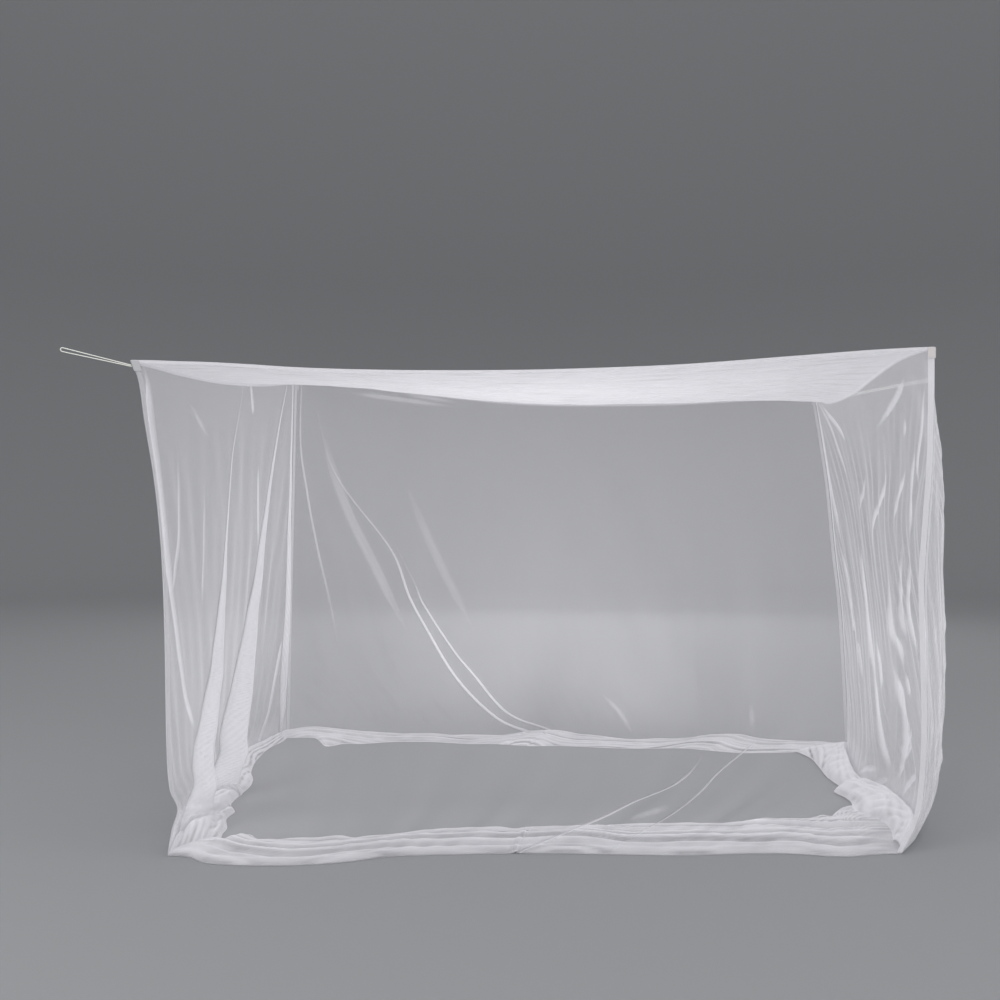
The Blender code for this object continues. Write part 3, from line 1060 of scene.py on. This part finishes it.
# ------------------------------------------------------------------ the studio
@dataclass
class Studio:
    """Camera, soft lights, and a pale floor that curves up all round."""

    eye: Point = (-0.18, -3.88, 0.90)
    lens: float = 42.84
    sensor: float = 36.0
    tilt: float = 0.289  # degrees above the level
    floor_radius: float = 9.0
    wall_radius: float = 4.0
    wall_height: float = 9.0
    curve_steps: int = 12
    spin_steps: int = 96
    sky_colour: Colour = (0.97, 0.98, 1.0, 1.0)
    sky_strength: float = 0.80
    sheer_layers: int = 40  # of netting that light passes through
    lamps: tuple[Lamp, ...] = (
        Lamp("key", (-4.2, -4.0, 2.9), (0, 0, 0.6), 3.0, 130),
        Lamp("fill", (4.8, -2.6, 2.3), (0, 0, 0.6), 3.0, 80),
        Lamp("rim", (0.6, 5.6, 2.7), (0, 0, 0.7), 3.5, 40),
        Lamp("low", (-0.2, -5.0, 0.5), (0, 0, 1.3), 2.6, 54),
        Lamp("under", (0, -0.05, 0.02), (0, -0.05, 1.3), 1.1, 13),
    )

    def camera(self) -> None:
        """Set up the camera, at the photo's view."""
        data = bpy.data.cameras.new("camera")
        data.lens = self.lens
        data.sensor_width = self.sensor
        made = put("camera", data)
        made.location = self.eye
        made.rotation_euler = (math.radians(90 + self.tilt), 0, 0)
        bpy.context.scene.camera = made

    def floor(self) -> None:
        """Make the floor and backdrop, spun from one profile."""
        bm = bmesh.new()
        profile = [bm.verts.new((0, 0, 0)), bm.verts.new((self.floor_radius, 0, 0))]
        for k in range(1, self.curve_steps + 1):
            turn = math.pi / 2 * k / self.curve_steps
            out = self.floor_radius + self.wall_radius * math.sin(turn)
            profile.append(bm.verts.new((out, 0, self.wall_radius * (1 - math.cos(turn)))))
        out = self.floor_radius + self.wall_radius
        profile.append(bm.verts.new((out, 0, self.wall_height)))
        edges = [bm.edges.new(pair) for pair in zip(profile[:-1], profile[1:])]
        bmesh.ops.spin(
            bm,
            geom=profile + edges,
            cent=(0, 0, 0),
            axis=(0, 0, 1),
            angle=2 * math.pi,
            steps=self.spin_steps,
            use_merge=True,
        )
        bmesh.ops.remove_doubles(bm, verts=bm.verts, dist=1e-4)
        bmesh.ops.recalc_face_normals(bm, faces=bm.faces)
        for face in bm.faces:
            face.smooth = True
        put("studio_floor", mesh_from("studio_floor", bm), GROUND)

    def light(self, lamp: Lamp) -> None:
        """Set up one lamp, which the camera doesn't see.

        Args:
            lamp: its place, aim, size and power.
        """
        data = bpy.data.lights.new(lamp.name, "AREA")
        data.size = lamp.size
        data.energy = lamp.power
        made = put(lamp.name, data)
        made.location = lamp.place
        way = Vector(lamp.aim) - Vector(lamp.place)
        made.rotation_euler = way.to_track_quat("-Z", "Y").to_euler()
        made.visible_camera = False

    def build(self) -> None:
        """Set up the camera, the floor, the sky and the lights."""
        self.camera()
        self.floor()
        world = bpy.data.worlds.new("studio_sky")
        world.use_nodes = True
        sky = world.node_tree.nodes["Background"]
        sky.inputs["Color"].default_value = self.sky_colour
        sky.inputs["Strength"].default_value = self.sky_strength
        scene = bpy.context.scene
        scene.world = world
        scene.cycles.transparent_max_bounces = self.sheer_layers
        scene.view_settings.view_transform = "Standard"
        for lamp in self.lamps:
            self.light(lamp)


# ------------------------------------------------------------------ the net's own folds
def fold(*rows: tuple[float, float, float, float, float]) -> Fold:
    """A fold from rows of down and along in thousandths, depth and mouth in mm, and layers."""
    return Fold(tuple(FoldStation(*(n / 1000 for n in row[:4]), row[4]) for row in rows))


def seam_band(along: float, width: float, layers: float) -> Fold:
    """The flat band of a corner seam, centred at a place along the wall."""
    return Fold(tuple(FoldStation(end, along, 0.0, width, layers) for end in (0.0, 1.0)), 0.9)


def crease(
    half_width: float, rise: float, layers: float, *line: tuple[float, float], fade: float = 0.32
) -> Crease:
    """A crease of a wall.

    Args:
        half_width: its half width, in mm.
        rise: how far it stands out, in mm.
        layers: the layers that it adds.
        line: its places, along and down in thousandths.
        fade: share of the line over which each end dies out.

    Returns:
        The crease.
    """
    places = tuple((along / 1000, down / 1000) for along, down in line)
    return Crease(places, half_width / 1000, rise / 1000, layers, fade)


def stations(*rows: tuple[float, float, float, float]) -> tuple[Station, ...]:
    """Stations from rows of along in thousandths, and sag, belly and foot in mm."""
    return tuple(Station(*(n / 1000 for n in row)) for row in rows)


def rims(*rows: tuple[float, float, float, float]) -> tuple[Rim, ...]:
    """Rims from rows of along in thousandths, reach and pile in mm, and layers."""
    return tuple(Rim(*(n / 1000 for n in row[:3]), row[3]) for row in rows)


def drifts(*rows: tuple[float, float, float]) -> tuple[Drift, ...]:
    """Drifts from rows of down, at the wall's beginning and at its end, as shares."""
    return tuple(Drift(*row) for row in rows)


WALL_FRONT = WallPanel(
    name="wall_front",
    begin="front_left",
    end="front_right",
    cut=(2.05, 1.60),
    seed=101,
    roll=0.004,
    end_spread=0.055,
    stations=stations(
        (0, 0, 0, 0), (30, 2, 1, 11), (56, 5, 2, 58), (90, 8, 4, 79), (140, 15, 8, 87),
        (200, 25, 10, 80), (250, 31, 10, 56), (300, 35, 8, 14), (366, 39, 4, -1),
        (500, 42, -4, -12), (630, 38, -5, 4), (700, 33, -4, 10), (830, 17, 4, -4), (916, 6, 4, 26),
        (975, 1, 1, 3), (1000, 0, 0, 0),
    ),
    rims=rims(
        (0, 0, 16, 2.2), (20, -23, 18, 2.4), (30, 12, 18, 2.2), (40, 38, 18, 2.1),
        (49, 14, 18, 2.0), (60, -14, 16, 1.8), (82, -9, 15, 1.7), (127, 2, 15, 1.7),
        (157, 6, 15, 1.7), (185, 33, 15, 1.7), (202, 6, 15, 1.7), (220, 24, 15, 1.7),
        (266, 56, 15, 1.7), (323, 95, 16, 1.7), (420, 119, 18, 1.8), (446, 102, 18, 1.8),
        (471, 122, 18, 1.8), (573, 152, 18, 1.8), (640, 171, 18, 1.8), (710, 183, 18, 1.8),
        (775, 189, 18, 1.8), (836, 246, 20, 2.0), (877, 245, 22, 2.0), (915, 259, 22, 2.0),
        (936, 284, 22, 2.0), (955, 285, 20, 1.8), (966, 330, 18, 1.5), (980, 400, 14, 1.2),
        (1000, 430, 10, 1.0),
    ),
    folds=(
        seam_band(0.004, 0.010, 0.6),
        fold(
            (0, 780, 0, 8, 0.0), (600, 755, 0, 8, 0.0), (794, 705, 0, 8, 0.0),
            (855, 670, 4, 10, 1.8), (893, 611, 6, 12, 2.6), (930, 567, 8, 14, 2.8),
            (1000, 470, 12, 22, 2.2),
        ),
        fold(
            (0, 860, 0, 6, 0.0), (600, 835, 0, 6, 0.0), (770, 775, 0, 6, 0.0),
            (794, 756, 2, 7, 1.4), (832, 726, 3, 7, 1.8), (871, 702, 3, 7, 1.8),
            (912, 669, 3, 8, 1.4), (960, 625, 1, 8, 0.4), (1000, 590, 0, 10, 0.0),
        ),
        seam_band(0.9955, 0.016, 4.5),
    ),
    creases=(
        crease(10, 3, 0.9, (605, 931), (634, 916), (662, 902)),
        crease(20, 8, 0.5, (955, 300), (953, 700), (948, 1000), fade=0.4),
    ),
    drifts=drifts((0.0, 0.0, 0.0), (0.55, 0.0, 0.0), (0.85, 0.02, -0.09), (1.0, 0.02, -0.3)),
    ripple=tuple(crowd(3, 9, 0.10, 0.34, 0.0022, 5.0)),
)

WALL_RIGHT = WallPanel(
    name="wall_right",
    begin="front_right",
    end="back_right",
    cut=(1.50, 1.60),
    seed=202,
    plain_step=0.0066,
    layers=0.84,
    gathered=35.0,
    belly_skew=0.75,
    overlap=0.004,
    crumple=0.045,
    crumple_sizes=(0.060, 0.22),
    top_band=0.004,
    stations=stations(
        (0, 0, 0, 0), (100, -5, 70, 56), (180, -7, 86, 74), (250, -5, 100, 86), (310, 1, 98, 81),
        (400, 13, 90, 62), (464, 22, 83, 36), (500, 28, 78, 2), (573, 38, 67, -26),
        (740, 45, 45, -30), (880, 36, 26, -26), (1000, 0, 0, 0),
    ),
    rims=rims(
        (0, 0, 18, 2.6), (95, -27, 29, 3.2), (141, -33, 31, 3.3), (191, -22, 32, 3.3),
        (217, -4, 32, 3.3), (254, 9, 32, 3.3), (283, 16, 32, 3.3), (363, -4, 31, 3.3),
        (414, -2, 30, 3.3), (478, 14, 29, 3.3), (500, 0, 29, 3.3), (518, -27, 29, 3.3),
        (547, -22, 30, 3.3), (645, -13, 31, 3.3), (793, -23, 31, 3.0), (900, -26, 27, 2.8),
        (1000, 0, 10, 2.2),
    ),
    folds=(
        seam_band(0.0062, 0.014, 3.6),
        seam_band(0.9945, 0.010, 2.4),
    ),
    creases=(
        crease(18, 4, 2.4, (990, 0), (992, 89), (990, 230), (964, 345), (934, 426)),
        crease(16, 5, 2.8, (983, 0), (901, 67), (871, 132), (827, 222), fade=0.3),
        crease(16, 4, 2.6, (951, 6), (832, 63), (780, 112), fade=0.3),
        crease(18, 5, 2.2, (958, 404), (917, 502), (887, 616), (825, 661)),
        crease(16, 5, 1.8, (825, 661), (790, 710), (749, 767)),
        crease(12, 3, 2.2, (250, 35), (320, 55), (390, 72), (550, 105)),
        crease(9, 3, 2.8, (120, 58), (251, 141), (328, 211), (355, 272)),
        crease(14, 3, 1.4, (338, 113), (383, 148), fade=0.4),
        crease(14, 4, 2.4, (324, 179), (378, 238), (405, 301), (430, 405)),
        crease(13, 3, 2.0, (405, 218), (480, 278), (523, 339)),
        crease(14, 4, 2.2, (519, 205), (564, 254), (646, 324), (676, 404)),
        crease(13, 3, 1.8, (686, 211), (763, 305), fade=0.4),
        crease(18, 5, 2.4, (420, 384), (449, 535), (429, 601), (387, 655)),
        crease(16, 3, 1.8, (472, 382), (487, 554), (456, 630)),
        crease(18, 5, 2.6, (557, 430), (538, 592), (490, 644), (463, 704)),
        crease(14, 4, 2.0, (463, 704), (445, 735), (426, 764), fade=0.4),
        crease(20, 8, 3.6, (769, 383), (739, 554), (690, 663), (624, 747), fade=0.3),
        crease(20, 8, 4.2, (690, 663), (624, 747), (567, 822), (526, 874), (491, 916), (468, 955)),
        crease(24, 9, 4.0, (509, 688), (469, 770), (434, 855), (431, 903), fade=0.3),
        crease(20, 8, 3.4, (434, 855), (431, 903), (434, 971), fade=0.4),
        crease(16, 3, 2.0, (405, 830), (412, 875), (424, 923)),
        crease(18, 3, 2.0, (646, 639), (590, 705), (552, 765)),
        crease(12, 4, 1.8, (622, 994), (559, 963), (497, 953)),
        crease(14, 4, 2.4, (464, 966), (518, 1000)),
        crease(18, 4, 2.4, (348, 910), (381, 983)),
        crease(20, 6, 3.0, (238, 737), (159, 812), (151, 862), (137, 902)),
        crease(16, 3, 2.2, (159, 722), (153, 825), (146, 908)),
        crease(18, 5, 2.2, (300, 500), (285, 620), (240, 740), (190, 860), fade=0.3),
        crease(18, 5, 2.0, (360, 480), (350, 640), (300, 780), (260, 920), fade=0.3),
        crease(16, 4, 1.6, (90, 420), (100, 600), (85, 780), fade=0.4),
    ),
    drifts=drifts(
        (0.0, -0.42, 0.17), (0.2, -0.18, 0.1), (0.38, 0.0, 0.02), (0.75, -0.13, -0.13),
        (0.95, -0.3, -0.3), (1.0, -0.34, -0.34),
    ),
    ripple=tuple(crowd(31, 20, 0.030, 0.15, 0.0022, 14.0)),
)

WALL_BACK = WallPanel(
    name="wall_back",
    begin="back_right",
    end="back_left",
    cut=(2.05, 1.60),
    seed=303,
    roll=0.002,
    stations=stations(
        (0, 0, 0, 0), (80, 9, 4, 30), (115, 14, 6, 36), (149, 19, 7, 80), (172, 23, 8, 131),
        (214, 30, 8, 120), (267, 38, 8, 33), (377, 49, 5, -15), (450, 54, 2, 50),
        (520, 56, 0, 131), (607, 52, -6, -8), (720, 35, -10, -10), (788, 23, -10, -8),
        (845, 14, -10, 19), (955, 3, -4, 68), (1000, 0, 0, 0),
    ),
    rims=rims(
        (0, 0, 8, 1.9), (32, 19, 8, 1.9), (112, 40, 8, 1.7), (212, -12, 8, 1.7), (280, 11, 8, 1.7),
        (337, 22, 7, 1.7), (447, 7, 8, 1.7), (511, 24, 9, 1.9), (578, 5, 8, 1.8),
        (626, 18, 8, 1.7), (706, 1, 8, 1.7), (781, 22, 8, 1.7), (841, 72, 8, 1.9),
        (877, 83, 9, 2.0), (908, 139, 10, 2.2), (926, 60, 10, 2.2), (942, -10, 10, 2.2),
        (972, -14, 10, 2.2), (1000, 0, 10, 2.2),
    ),
    folds=(
        seam_band(0.004, 0.010, 1.6),
        fold(
            (0, 890, 0, 8, 0.0), (300, 845, 0, 8, 0.0), (550, 765, 1, 8, 0.5),
            (602, 751, 3, 9, 2.0), (744, 691, 5, 10, 2.8), (816, 653, 6, 11, 3.0),
            (909, 606, 8, 13, 3.0), (956, 568, 9, 15, 3.0), (1000, 510, 10, 20, 2.0),
        ),
        fold(
            (0, 965, 0, 8, 0.0), (200, 932, 1, 8, 0.3), (285, 901, 2, 9, 0.9),
            (457, 809, 3, 10, 1.6), (589, 775, 5, 11, 2.6), (677, 744, 6, 11, 3.2),
            (829, 684, 9, 13, 3.4), (944, 611, 12, 17, 3.2), (1000, 550, 16, 26, 2.2),
        ),
        fold(
            (0, 986, 1, 6, 1.0), (186, 984, 3, 8, 1.8), (323, 968, 3, 9, 1.8),
            (463, 949, 2, 10, 1.4), (605, 926, 1, 12, 0.7), (760, 905, 0, 12, 0.0),
            (1000, 880, 0, 14, 0.0),
        ),
        seam_band(0.9965, 0.009, 1.6),
    ),
    creases=(
        crease(12, 4, 1.4, (897, 21), (809, 26), (684, 29)),
        crease(10, 3, 1.2, (801, 8), (683, 16)),
        crease(
            24, 7, 0.8, (949, 97), (924, 232), (887, 369), (848, 481), (810, 595), (771, 712),
            fade=0.3,
        ),
        crease(22, 4, 0.45, (799, 215), (724, 470), (648, 706), fade=0.4),
        crease(11, 4, 0.9, (427, 862), (393, 920), (370, 990), fade=0.4),
        crease(10, 4, 0.8, (157, 893), (156, 980), fade=0.4),
    ),
    drifts=drifts((0.0, 0.0, 0.25), (0.5, 0.0, 0.0), (0.8, -0.01, -0.12), (1.0, -0.03, -0.28)),
    ripple=tuple(crowd(5, 11, 0.08, 0.34, 0.0036, 5.0)),
)

WALL_LEFT = WallPanel(
    name="wall_left",
    begin="back_left",
    end="front_left",
    cut=(1.50, 1.60),
    seed=404,
    layers=0.72,
    gathered=70.0,
    roll=0.003,
    crumple=0.045,
    crumple_sizes=(0.055, 0.18),
    stations=stations(
        (0, 0, 0, 0), (87, 9, 0, 34), (186, 18, -2, 55), (262, 23, -3, 70), (359, 28, -5, 75),
        (485, 30, -6, 73), (600, 29, -4, 58), (780, 19, 0, 42), (900, 8, 0, 20), (1000, 0, 0, 0),
    ),
    rims=rims(
        (0, 0, 10, 2.1), (60, -10, 12, 2.1), (139, -40, 14, 2.2), (300, -56, 16, 2.4),
        (429, -46, 20, 2.7), (502, -23, 22, 2.9), (573, -16, 26, 3.2), (682, -32, 30, 3.5),
        (746, -36, 34, 3.6), (800, -11, 38, 3.8), (862, -20, 42, 4.2), (931, -1, 40, 4.2),
        (970, -3, 30, 3.5), (1000, 0, 16, 2.1),
    ),
    folds=(
        fold(
            (0, 14, 3, 8, 2.5), (270, 24, 9, 9, 3.6), (600, 32, 20, 11, 4.6),
            (840, 42, 26, 13, 4.8), (1000, 30, 12, 16, 3.6),
        ),
        fold(
            (0, 60, 2, 7, 1.5), (100, 125, 4, 7, 2.5), (330, 258, 14, 9, 2.8),
            (580, 376, 38, 12, 2.7), (760, 468, 72, 16, 2.6), (900, 583, 92, 24, 3.0),
            (1000, 660, 74, 34, 3.6),
        ),
        fold(
            (0, 400, 0, 6, 0.3), (200, 530, 3, 7, 2.0), (370, 584, 6, 8, 2.8),
            (530, 630, 20, 10, 2.7), (740, 705, 47, 13, 2.6), (900, 828, 66, 22, 3.0),
            (1000, 912, 58, 32, 3.6),
        ),
        seam_band(0.9965, 0.008, 0.5),
    ),
    creases=(
        crease(26, 6, 3.2, (950, 0), (963, 110), (968, 379), (921, 565), fade=0.3),
        crease(
            15, 4, 3.2, (955, 40), (963, 110), (968, 379), (921, 565), (884, 658), (849, 719),
            (764, 805), fade=0.1,
        ),
        crease(13, 3, 2.4, (324, 206), (314, 423), fade=0.3),
        crease(18, 6, 4.4, (46, 720), (82, 827), (110, 900), (149, 961), (172, 995), fade=0.1),
        crease(12, 3, 3.0, (348, 0), (346, 79), fade=0.2),
        crease(14, 3, 1.4, (855, 168), (881, 326), (920, 426), (952, 490)),
        crease(14, 3, 0.8, (713, 237), (739, 420), (746, 534)),
        crease(13, 3, 0.8, (763, 59), (650, 146), fade=0.4),
        crease(12, -6, 2.0, (925, 937), (830, 965), (740, 998)),
    ),
    drifts=drifts((0.0, -0.2, 0.03), (0.5, 0.0, 0.0), (0.8, 0.1, -0.1), (1.0, 0.22, -0.14)),
    ripple=tuple(crowd(7, 10, 0.07, 0.30, 0.0014, 9.0)),
)


def main() -> None:
    """Build the studio, the ties, the cloth and the patches, in that order."""
    Studio().build()
    walls = (WALL_FRONT, WALL_RIGHT, WALL_BACK, WALL_LEFT)
    CornerTie("front_left", WALL_LEFT, (-1.302, -0.830, 1.301), 0.0100, 26).build()
    CornerTie("back_right", WALL_RIGHT, (1.455, 0.640, 1.380), 0.0090, 34).build()
    RoofPanel(walls).build()
    for wall in walls:
        piece = wall.build()
        LOG.info("%s has %d faces", piece.name, len(piece.data.polygons))
    for index, wall in enumerate(walls):
        tape = TAPE if wall.begin == "front_right" else NET_TAPE
        CornerPatch(walls[index - 1], wall, tape).build()


if __name__ == "__main__":
    main()
